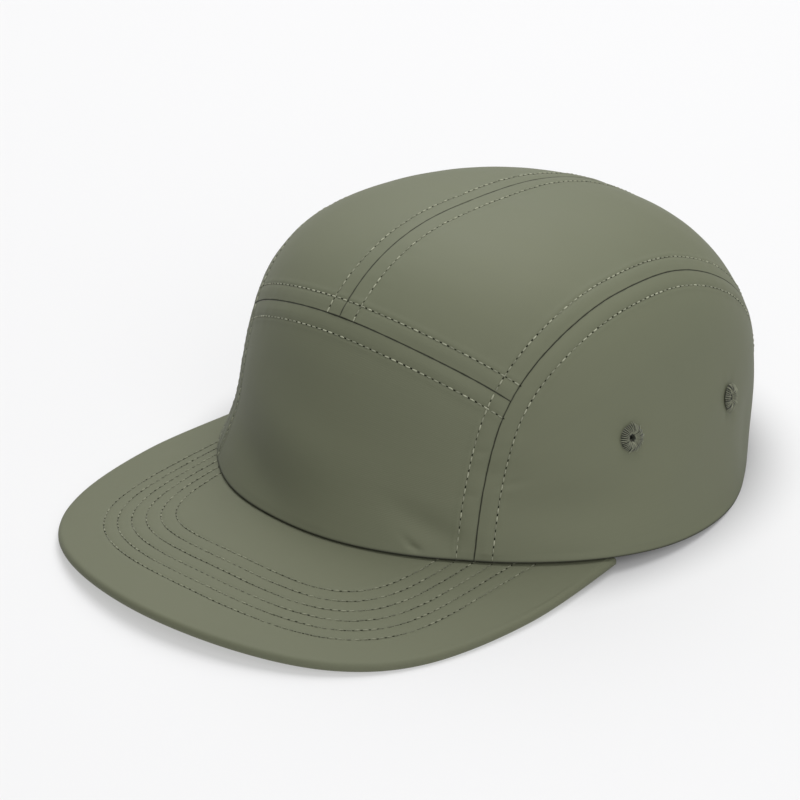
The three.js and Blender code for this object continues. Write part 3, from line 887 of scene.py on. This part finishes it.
def clothFinish(name, look):
    constants = {"Sheen Weight": look["sheen"], "Sheen Roughness": 0.45, "Specular IOR Level": 0.22}
    finish = Finish(name, constants)
    weave = finish.weave()
    broad = finish.speckle(finish.place(), 14.0, 3.0)
    short, long = look["streakScale"]
    yarnsUp = finish.add("ShaderNodeMapping", None, {"Vector": weave, "Scale": (long, short, 1)})
    yarnsAcross = finish.add("ShaderNodeMapping", None, {"Vector": weave, "Scale": (short, long, 1)})
    streaks = finish.speckle(yarnsUp, 1.0) + finish.speckle(yarnsAcross, 1.0)
    grain = finish.speckle(weave, 1.3)
    tone = 1 - look["streakTone"] + streaks * look["streakTone"]
    # painted shade: the colour is darkened along the seams and the lower edges
    tone = tone * (1 - finish.stored("grooveShade") * look["grooveShade"])
    colour = finish.tint(finish.mixColours(broad, look["colour"], look["warm"]), finish.grey(tone))
    yarns = finish.wave(weave, "X", look["yarn"], 0.6) * finish.wave(weave, "Y", look["yarn"], 0.6)
    height = yarns * look["weaveBump"] + streaks * look["streakBump"] + grain * look["grainBump"]
    rough = look["roughness"] + (streaks - 1) * 0.12
    return finish.out(colour, rough, finish.bump(height, 0.35, 0.4))


threadLook = {"light": (0.36, 0.37, 0.27, 1), "dark": (0.1, 0.106, 0.07, 1), "roughness": 0.6}


def threadFinish(name, look):
    finish = Finish(name, {"Sheen Weight": 0.1, "Specular IOR Level": 0.3})
    fibre = finish.speckle(finish.place(), 1900.0)
    share = finish.stored("threadTone") * (0.8 + fibre * 0.4)
    colour = finish.mixColours(share, look["dark"], look["light"])
    return finish.out(colour, look["roughness"] + fibre * 0.15, finish.bump(fibre, 0.5, 0.2))


# painted shade: near-black beads set at the needle holes stand in for the shade inside them
needleShadeLook = {"colour": (0.012, 0.013, 0.009, 1), "edge": (0.028, 0.03, 0.02, 1)}


def needleShadeFinish(name, look):
    finish = Finish(name, {"Specular IOR Level": 0.0, "Roughness": 1.0})
    spots = finish.speckle(finish.place(), 900.0)
    return finish.out(finish.mixColours(spots, look["colour"], look["edge"]))


clothMaterial = clothFinish("crownCloth", clothLook)
# the brim's cloth is the crown's cloth made a little darker: painted shade that tones down the light on
# its upturned face
brimLook = dict(clothLook, colour=(0.127, 0.1357, 0.0875, 1), warm=(0.1335, 0.1405, 0.09, 1))
brimMaterial = clothFinish("brimCloth", brimLook)
threadMaterial = threadFinish("sewingThread", threadLook)
# the brim's thread is the crown's thread made much darker: painted shade of its rows, sunk in their
# valleys
brimThreadLook = dict(threadLook, light=(0.23, 0.237, 0.165, 1), dark=(0.04, 0.043, 0.028, 1))
brimThreadMaterial = threadFinish("brimThread", brimThreadLook)
eyeletLook = {"light": (0.3, 0.312, 0.222, 1), "dark": (0.02, 0.022, 0.014, 1), "roughness": 0.5}
eyeletMaterial = threadFinish("eyeletThread", eyeletLook)
needleShadeMaterial = needleShadeFinish("needleHoleShade", needleShadeLook)
print("cloth and thread finishes made")


# A geometry tree with named inputs; adding a node gives one of its outputs.
class GeoTree:
    def __init__(self, name, inputs):
        self.tree = bpy.data.node_groups.new(name, "GeometryNodeTree")
        face = self.tree.interface
        face.new_socket("Geometry", in_out="INPUT", socket_type="NodeSocketGeometry")
        face.new_socket("Geometry", in_out="OUTPUT", socket_type="NodeSocketGeometry")
        for kind, keys in inputs.items():
            for key in keys:
                face.new_socket(key, in_out="INPUT", socket_type="NodeSocket" + kind)
        self.entry = self.tree.nodes.new("NodeGroupInput")
        self.exit = self.tree.nodes.new("NodeGroupOutput")

    def given(self, key):
        return self.entry.outputs[key]

    def add(self, kind, settings=None, values=None, output=0):
        node = self.tree.nodes.new(kind)
        for key, value in (settings or {}).items():
            setattr(node, key, value)
        for key, value in (values or {}).items():
            socket = node.inputs[key]
            if isinstance(value, bpy.types.NodeSocket):
                self.tree.links.new(value, socket)
            else:
                socket.default_value = value
        return node.outputs[output]

    def maths(self, operation, first, second):
        return self.add("ShaderNodeMath", {"operation": operation}, {0: first, 1: second})

    def vector(self, **parts):
        return self.add("ShaderNodeCombineXYZ", None, parts)

    def scaled(self, direction, amount):
        return self.add("ShaderNodeVectorMath", {"operation": "SCALE"}, {0: direction, "Scale": amount})

    def stored(self, key):
        return self.add("GeometryNodeInputNamedAttribute", {"data_type": "FLOAT_VECTOR"}, {"Name": key})

    def smooth(self, geometry):
        return self.add("GeometryNodeSetShadeSmooth", None, {"Geometry": geometry})

    def randomly(self, low, high):
        values = {2: low, 3: high, "Seed": self.given("Seed")}
        return self.add("FunctionNodeRandomValue", {"data_type": "FLOAT"}, values, 1)

    def copies(self, points, instance, rotation, scale):
        values = {"Points": points, "Instance": instance, "Rotation": rotation, "Scale": scale}
        return self.add("GeometryNodeInstanceOnPoints", None, values)

    # gives every copy a tone of its own, from the darkest to 1
    def toned(self, copies, darkest):
        settings = {"data_type": "FLOAT", "domain": "INSTANCE"}
        values = {"Geometry": copies, "Name": "threadTone", "Value": self.randomly(darkest, 1.0)}
        return self.add("GeometryNodeStoreNamedAttribute", settings, values)

    def finish(self, geometry):
        real = self.add("GeometryNodeRealizeInstances", None, {"Geometry": geometry})
        values = {"Geometry": real, "Material": self.given("Material")}
        self.tree.links.new(self.add("GeometryNodeSetMaterial", None, values), self.exit.inputs[0])
        return self.tree


# makes the tree's result the piece's own mesh
def applyTree(piece, tree, values):
    modifier = piece.modifiers.new("made", "NODES")
    modifier.node_group = tree
    for item in tree.interface.items_tree:
        if item.in_out == "INPUT" and item.name in values:
            modifier[item.identifier] = values[item.name]
    graph = bpy.context.evaluated_depsgraph_get()
    mesh = bpy.data.meshes.new_from_object(piece.evaluated_get(graph))
    piece.modifiers.remove(modifier)
    old = piece.data
    piece.data = mesh
    bpy.data.meshes.remove(old)
    mesh.name = piece.name
    return piece


stitch = {
    "thread": {"Length": 1.75, "Width": 0.46, "Height": 0.42, "Lift": 0.1, "Shift": 0},
    # the hole row is a bead of painted shade, half a pitch from each stitch
    "hole": {"Length": 0.85, "Width": 0.46, "Height": 0.2, "Lift": 0, "Shift": relief["pitch"] / 2},
    "uneven": 0.14,
    "darkest": 0.35,
}


# one ball of thread, or one dark bead of painted shade at a needle hole, for every pitch along the rows
def stitchTree():
    sizes = ("Pitch", "Shift", "Lift", "Length", "Width", "Height", "Uneven")
    geo = GeoTree("stitchRows", {"Float": sizes, "Int": ("Seed",), "Material": ("Material",)})
    curve = geo.add("GeometryNodeMeshToCurve", None, {"Mesh": geo.given("Geometry")})
    values = {"Curve": curve, "Length": geo.given("Pitch")}
    points = geo.add("GeometryNodeCurveToPoints", {"mode": "LENGTH"}, values)
    settings = {"data_type": "FLOAT_VECTOR", "domain": "POINT"}
    values = {"Geometry": points, "Name": "heading", "Value": points.node.outputs["Tangent"]}
    headed = geo.add("GeometryNodeStoreNamedAttribute", settings, values)
    up, ahead = geo.stored("up"), geo.stored("heading")
    along, rise = geo.scaled(ahead, geo.given("Shift")), geo.scaled(up, geo.given("Lift"))
    offset = geo.add("ShaderNodeVectorMath", {"operation": "ADD"}, {0: along, 1: rise})
    placed = geo.add("GeometryNodeSetPosition", None, {"Geometry": headed, "Offset": offset})
    ball = geo.add("GeometryNodeMeshUVSphere", None, {"Segments": 8, "Rings": 6, "Radius": 0.5})
    size = geo.vector(X=geo.given("Length"), Y=geo.given("Width"), Z=geo.given("Height"))
    shaped = geo.add("GeometryNodeTransform", None, {"Geometry": ball, "Scale": size})
    axes = {"primary_axis": "Z", "secondary_axis": "X"}
    turned = geo.add("FunctionNodeAxesToRotation", axes, {"Primary Axis": up, "Secondary Axis": ahead})
    uneven = geo.given("Uneven")
    scale = geo.randomly(geo.maths("SUBTRACT", 1.0, uneven), geo.maths("ADD", 1.0, uneven))
    copies = geo.copies(placed, geo.smooth(shaped), turned, scale)
    return geo.finish(geo.toned(copies, stitch["darkest"]))


def rowsPiece(name, rows):
    edges, first = [], 0
    for row in rows:
        edges += [[k, k + 1] for k in range(first, first + len(row) - 1)]
        first += len(row)
    table = np.concatenate(rows)
    mesh = bpy.data.meshes.new(name)
    mesh.from_pydata(onFrame(table[:, :3]).tolist(), edges, [])
    attribute = mesh.attributes.new("up", "FLOAT_VECTOR", "POINT")
    attribute.data.foreach_set("vector", unit(table[:, 3:6]).astype(np.float32).ravel())
    return linked(name, mesh)


def sewRows(group, seed, thread):
    tree = bpy.data.node_groups.get("stitchRows") or stitchTree()
    made = []
    for word, kind, material in (("Stitches", "thread", thread), ("NeedleHoleShades", "hole", needleShadeMaterial)):
        values = {key: size * mm for key, size in stitch[kind].items()}
        values |= {"Pitch": relief["pitch"] * mm, "Uneven": stitch["uneven"]}
        values |= {"Seed": seed, "Material": material}
        piece = applyTree(rowsPiece(group + word, stitchRows[group]), tree, values)
        made.append(piece)
        print(piece.name, "made,", len(piece.data.polygons), "faces")
    return made


sewn = sewRows("crown", 3, threadMaterial) + sewRows("brim", 5, brimThreadMaterial)


# a round of satin threads from the hole out over a soft crest
def threadRingTree():
    inputs = {"Int": ("Count", "Seed"), "Float": ("Inner", "Outer", "Crest", "Width")}
    inputs |= {"Vector": ("Centre",), "Rotation": ("Turn",), "Material": ("Material",)}
    geo = GeoTree("threadRing", inputs)
    count, inner, outer, crest = (geo.given(key) for key in ("Count", "Inner", "Outer", "Crest"))
    ring = geo.add("GeometryNodeMeshCircle", None, {"Vertices": count, "Radius": 1e-5})
    middle = geo.maths("MULTIPLY", geo.maths("ADD", inner, outer), 0.5)
    values = {
        "Resolution": 7,
        "Start": geo.vector(X=inner, Z=geo.maths("MULTIPLY", crest, -0.5)),
        "Middle": geo.vector(X=middle, Z=geo.maths("MULTIPLY", crest, 2.0)),
        "End": geo.vector(X=outer),
    }
    arc = geo.add("GeometryNodeCurveQuadraticBezier", None, values)
    values = {"Resolution": 5, "Radius": geo.given("Width")}
    section = geo.add("GeometryNodeCurvePrimitiveCircle", None, values)
    values = {"Curve": arc, "Profile Curve": section, "Fill Caps": True}
    rod = geo.smooth(geo.add("GeometryNodeCurveToMesh", None, values))
    step = geo.maths("DIVIDE", 2 * math.pi, count)
    spin = geo.vector(Z=geo.maths("MULTIPLY", geo.add("GeometryNodeInputIndex"), step))
    low, high = eyelets["threadSpread"]
    values = {"Min": low, "Max": high, "Seed": geo.given("Seed")}
    varied = geo.add("FunctionNodeRandomValue", {"data_type": "FLOAT_VECTOR"}, values)
    threads = geo.toned(geo.copies(ring, rod, spin, varied), eyelets["darkest"])
    values = {"Geometry": threads, "Translation": geo.given("Centre"), "Rotation": geo.given("Turn")}
    both = geo.add("GeometryNodeJoinGeometry", None, {0: geo.add("GeometryNodeTransform", None, values)})
    geo.tree.links.new(geo.given("Geometry"), both.node.inputs[0])
    return geo.finish(both)


def eyeletPiece(side, word, row):
    place = eyeletPlace(side, row)
    turn = Vector(place["out"]).to_track_quat("Z", "Y").to_matrix()
    hole, rim, barrel = (eyelets[key] / 2 for key in ("hole", "diameter", "barrel"))
    wall = crown["wall"]
    crestAt = (hole + rim) / 2
    profile = [
        (hole, -0.5),
        (hole + 0.35, 0.1),
        (crestAt, eyelets["crest"] - 0.6),
        (rim - 0.5, 0.16),
        (rim - 0.6, -0.35),
        (barrel, -0.4),
        (barrel, -wall - 0.1),
        (rim - 0.6, -wall - 0.15),
        (rim - 0.4, -wall - 0.5),
        (crestAt, -wall - 0.9),
        (hole + 0.3, -wall - 0.5),
        (hole, -wall + 0.1),
    ]
    profile = np.array(profile)
    angles = np.arange(eyelets["segments"]) * 2 * math.pi / eyelets["segments"]
    rings = np.stack(
        [
            np.outer(np.cos(angles), profile[:, 0]),
            np.outer(np.sin(angles), profile[:, 0]),
            np.broadcast_to(profile[:, 1], (len(angles), len(profile))),
        ],
        -1,
    )
    points = rings.reshape(-1, 3) @ np.array(turn).T + place["centre"]
    count = len(profile)
    ids = np.arange(len(points)).reshape(len(angles), count)
    nextRing, nextPoint = np.roll(ids, -1, axis=0), np.roll(ids, -1, axis=1)
    across = np.roll(nextRing, -1, axis=1)
    faces = np.stack([ids, nextPoint, across, nextRing], -1).reshape(-1, 4)
    name = "eyelet" + word + row["name"]
    piece = meshFrom(name, points, faces.tolist())
    tree = bpy.data.node_groups.get("threadRing") or threadRingTree()
    values = {
        "Count": eyelets["threads"],
        "Inner": (hole + 0.1) * mm,
        "Outer": (rim - 0.1) * mm,
        "Crest": eyelets["crest"] * mm,
        "Width": eyelets["threadWidth"] / 2 * mm,
        "Seed": 11 + 3 * side + len(row["name"]),
        "Centre": tuple(onFrame(place["centre"])),
        "Turn": turn.to_euler(),
        "Material": eyeletMaterial,
    }
    applyTree(piece, tree, values)
    panelPieces[name] = (piece, "eyelet_" + word.lower() + "_" + row["name"].lower())


for side, word in ((1, "Left"), (-1, "Right")):
    for row in eyelets["rows"]:
        eyeletPiece(side, word, row)
print("eyelets made")

strap = {
    "width": 19,
    "low": 5,
    "thickness": 1.2,
    "hold": 11,
    "gap": 0.8,
    "cell": 0.7,
    "edge": 0.35,
}
slide = {
    "length": 16,
    "rim": 2.6,
    "wall": 1.2,
    "gap": 0.35,
    "round": 0.5,
    "roundInside": 0.2,
    "cells": 24,
    "ringCells": 120,
}


# loops of points along the back of the crown; a section's rows are a height and a depth
def backLoops(halfLength, section, count):
    halfTurn = math.degrees(halfLength / crown["back"])
    turns = np.linspace(-halfTurn, halfTurn, count)[:, None]
    heights, depths = section.T
    at = flatPoint(180 + turns, backShare(heights))
    return crownPoint(at) - outwardOn(crownPoint, at) * depths[:, None]


# a box's section with rounded corners
def roundedBox(low, high, near, far, radius):
    cornerSteps, cell = 4, 0.72
    corners = [(high - radius, near + radius, 90), (high - radius, far - radius, 0)]
    corners += [(low + radius, far - radius, -90), (low + radius, near + radius, -180)]
    ring = []
    for height, depth, start in corners:
        for k in range(cornerSteps + 1):
            angle = math.radians(start - 90 * k / cornerSteps)
            ring.append((height + radius * math.cos(angle), depth - radius * math.sin(angle)))
    ring = np.array(ring)
    filled = []
    for point, after in zip(ring, np.roll(ring, -1, axis=0)):
        count = max(int(np.hypot(*(after - point)) / cell), 1)
        filled += [between(point, after, j / count) for j in range(count)]
    return np.array(filled)


def resampled(ring, count):
    closed = np.concatenate([ring, ring[:1]])
    along = np.concatenate([[0], np.cumsum(lengthOf(np.diff(closed, axis=0)))])
    spots = np.linspace(0, along[-1], count, endpoint=False)
    return np.stack([np.interp(spots, along, closed[:, axis]) for axis in (0, 1)], -1)


def facingOut(piece):
    mesh = piece.data
    volume = 0
    for face in mesh.polygons:
        corners = [mesh.vertices[k].co for k in face.vertices]
        for before, after in zip(corners[1:], corners[2:]):
            volume += corners[0].dot(before.cross(after))
    if volume < 0:
        mesh.flip_normals()
    return piece


def strapPiece():
    halfLength = seams["archHalfWidth"] * crown["back"] / crown["halfWidth"] + strap["hold"]
    low, near = strap["low"], crown["wall"] + strap["gap"]
    section = roundedBox(low, low + strap["width"], near, near + strap["thickness"], strap["edge"])
    count = int(2 * halfLength / strap["cell"])
    loops = backLoops(halfLength, section, count)
    ids = np.arange(count * len(section)).reshape(count, len(section))
    faces = loopFaces(ids).tolist() + [ids[0][::-1].tolist(), ids[-1].tolist()]
    places = np.arange(count)[:, None] * strap["cell"]
    uv = np.stack(np.broadcast_arrays(places, section.sum(1)), -1)
    piece = meshFrom("backStrap", loops.reshape(-1, 3), faces, uv.reshape(-1, 2))
    panelPieces["backStrap"] = (facingOut(piece), "back_strap")


def slidePiece():
    gap, rim, wall = slide["gap"], slide["rim"], slide["wall"]
    low, high = strap["low"], strap["low"] + strap["width"]
    near = crown["wall"] + strap["gap"] - gap
    far = near + strap["thickness"] + 2 * gap
    outer = roundedBox(low - rim, high + rim, near - wall, far + wall, slide["round"])
    inside = roundedBox(low - gap, high + gap, near, far, slide["roundInside"])
    count, around = slide["cells"], slide["ringCells"]
    loops = [backLoops(slide["length"] / 2, resampled(ring, around), count) for ring in (outer, inside)]
    ids = np.arange(count * around).reshape(count, around)
    tube, under = loopFaces(ids), ids.size
    start, end = ids[0], ids[-1]
    startNext, endNext = np.roll(start, -1), np.roll(end, -1)
    startCap = np.stack([start, start + under, startNext + under, startNext], -1)
    endCap = np.stack([end, endNext, endNext + under, end + under], -1)
    faces = np.concatenate([tube, tube[:, ::-1] + under, startCap, endCap])
    points = np.concatenate([loop.reshape(-1, 3) for loop in loops])
    piece = meshFrom("strapSlide", points, faces.tolist())
    panelPieces["strapSlide"] = (facingOut(piece), "strap_slide")


strapPiece()
slidePiece()
print("strap and slide made")

webbingLook = {"colour": (0.125, 0.132, 0.09, 1), "light": (0.165, 0.172, 0.118, 1), "rib": 1.1}


def webbingFinish(name, look):
    finish = Finish(name, {"Sheen Weight": 0.15, "Specular IOR Level": 0.3})
    weave = finish.weave()
    ribs = finish.wave(weave, "X", look["rib"], 0.4)
    height = ribs * 0.7 + finish.wave(weave, "Y", look["rib"] * 0.6, 0.4) * 0.3
    colour = finish.mixColours(height, look["colour"], look["light"])
    return finish.out(colour, 0.72 + height * 0.1, finish.bump(height, 0.7, 0.4))


slideLook = {"colour": (0.022, 0.023, 0.02, 1), "worn": (0.035, 0.036, 0.031, 1)}


def slideFinish(name, look):
    finish = Finish(name, {"Specular IOR Level": 0.45})
    spots = finish.speckle(finish.place(), 1200.0, 3.0)
    colour = finish.mixColours(spots, look["colour"], look["worn"])
    return finish.out(colour, 0.42 + spots * 0.2, finish.bump(spots, 0.25, 0.2))


materialOf = {"backStrap": webbingFinish("strapWebbing", webbingLook)}
materialOf["strapSlide"] = slideFinish("slidePlastic", slideLook)
materialOf["brimShell"] = brimMaterial

for name, (piece, node) in panelPieces.items():
    isEyelet = name.startswith("eyelet")
    if not isEyelet:
        piece.data.materials.clear()
        piece.data.materials.append(materialOf.get(name, clothMaterial))
    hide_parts(node)
    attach(piece, "root")
for piece in sewn:
    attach(piece, "root")
print("pieces placed on the frame")

photoView = {
    "azimuth": 42.937,
    "elevation": 25.373,
    "roll": -0.345,
    "distance": 874.3,
    "aim": (0, -31.2, 46.8),  # in the crown's own place, before the shift to the frame
    "aimRight": -4.985,
    "aimUp": -11.42,
    "lens": 120.91,
    "sensor": 36,
}


def makeCamera():
    a, e = math.radians(photoView["azimuth"]), math.radians(photoView["elevation"])
    back = Vector((math.sin(a) * math.cos(e), -math.cos(a) * math.cos(e), math.sin(e)))
    right = Vector((math.cos(a), math.sin(a), 0))
    up = back.cross(right)
    target = Vector(photoView["aim"]) + Vector((0, shiftY, 0))
    target += right * photoView["aimRight"] + up * photoView["aimUp"]
    roll = math.radians(photoView["roll"])
    rightRolled = right * math.cos(roll) + up * math.sin(roll)
    upRolled = up * math.cos(roll) - right * math.sin(roll)
    data = bpy.data.cameras.new("photoCamera")
    data.lens, data.sensor_width = photoView["lens"], photoView["sensor"]
    data.clip_start, data.clip_end = 0.01, 30
    camera = linked("photoCamera", data)
    place = (target + back * photoView["distance"]) * mm
    axes = Matrix((rightRolled, upRolled, back)).transposed().to_4x4()
    camera.matrix_world = Matrix.Translation(place) @ axes
    bpy.context.scene.camera = camera


studio = {
    "floorSize": 8,
    "floorColour": (0.4, 0.4, 0.405, 1),
    # the floor glows: painted light that thins the cap's cast shadows
    "floorGlow": 0.425,
    "glowReach": (0.0895, 0.0985, 1),  # the crown's footprint: the floor's glow fades out under it and just around it, which paints a soft shadow at the crown's foot
    "glowStart": 0.8,
    "glowFull": 1.22,
    "worldColour": (1.0, 1.0, 1.0, 1),
    "worldStrength": 0.18,
    "lampAim": (0, 0, 0.05),
    "lamps": [
        {"name": "topLamp", "from": (0.0, 0.4, 2.0), "size": 1.7, "power": 29},
        {"name": "backLamp", "from": (-1.0, 1.2, 1.6), "size": 1.6, "power": 19.5},
        {"name": "cameraLamp", "from": (1.34, -0.94, 1.15), "size": 1.6, "power": 17},
        {"name": "sideLamp", "from": (1.9, 0.3, 0.8), "size": 1.6, "power": 3},
        {"name": "farLamp", "from": (-1.9, 0.2, 0.9), "size": 1.6, "power": 5},
    ],
}


def makeStudio():
    size = studio["floorSize"] / 2
    mesh = bpy.data.meshes.new("studioFloor")
    corners = [(-size, -size, 0), (size, -size, 0), (size, size, 0), (-size, size, 0)]
    mesh.from_pydata(corners, [], [(0, 1, 2, 3)])
    floor = linked("studioFloor", mesh)
    glow = {"Emission Color": (1, 1, 1, 1), "Emission Strength": studio["floorGlow"]}
    finish = Finish("floorPaper", {"Specular IOR Level": 0.1, "Roughness": 0.9, **glow})
    finish.plug(finish.shader.inputs["Base Color"], studio["floorColour"])
    # the glow fades out around the crown's footprint: painted shadow at its foot
    shift = (0, -(shiftY + crown["back"] / 2 - crown["front"] / 2) * mm / studio["glowReach"][1], 0)
    scale = [1 / reach for reach in studio["glowReach"]]
    values = {"Vector": finish.place(), "Scale": scale, "Location": shift}
    inEllipse = finish.add("ShaderNodeMapping", None, values)
    share = finish.add("ShaderNodeVectorMath", {"operation": "LENGTH"}, {0: inEllipse}, "Value")
    limits = {"Value": share, "From Min": studio["glowStart"], "From Max": studio["glowFull"]}
    glowing = finish.add("ShaderNodeMapRange", {"interpolation_type": "SMOOTHSTEP"}, limits)
    finish.plug(finish.shader.inputs["Emission Color"], finish.grey(glowing))
    mesh.materials.append(finish.material)
    world = bpy.data.worlds.new("studioWorld")
    world.use_nodes = True
    background = world.node_tree.nodes["Background"]
    background.inputs["Color"].default_value = studio["worldColour"]
    background.inputs["Strength"].default_value = studio["worldStrength"]
    bpy.context.scene.world = world
    for lamp in studio["lamps"]:
        data = bpy.data.lights.new(lamp["name"], "AREA")
        data.shape, data.size, data.energy = "DISK", lamp["size"], lamp["power"]
        light = linked(lamp["name"], data)
        place = Vector(lamp["from"])
        light.location = place
        light.rotation_mode = "QUATERNION"
        light.rotation_quaternion = (place - Vector(studio["lampAim"])).to_track_quat("Z", "Y")
    bpy.context.scene.view_settings.view_transform = "Standard"
    bpy.context.scene.view_settings.look = "None"


makeCamera()
makeStudio()
print("camera and studio made")
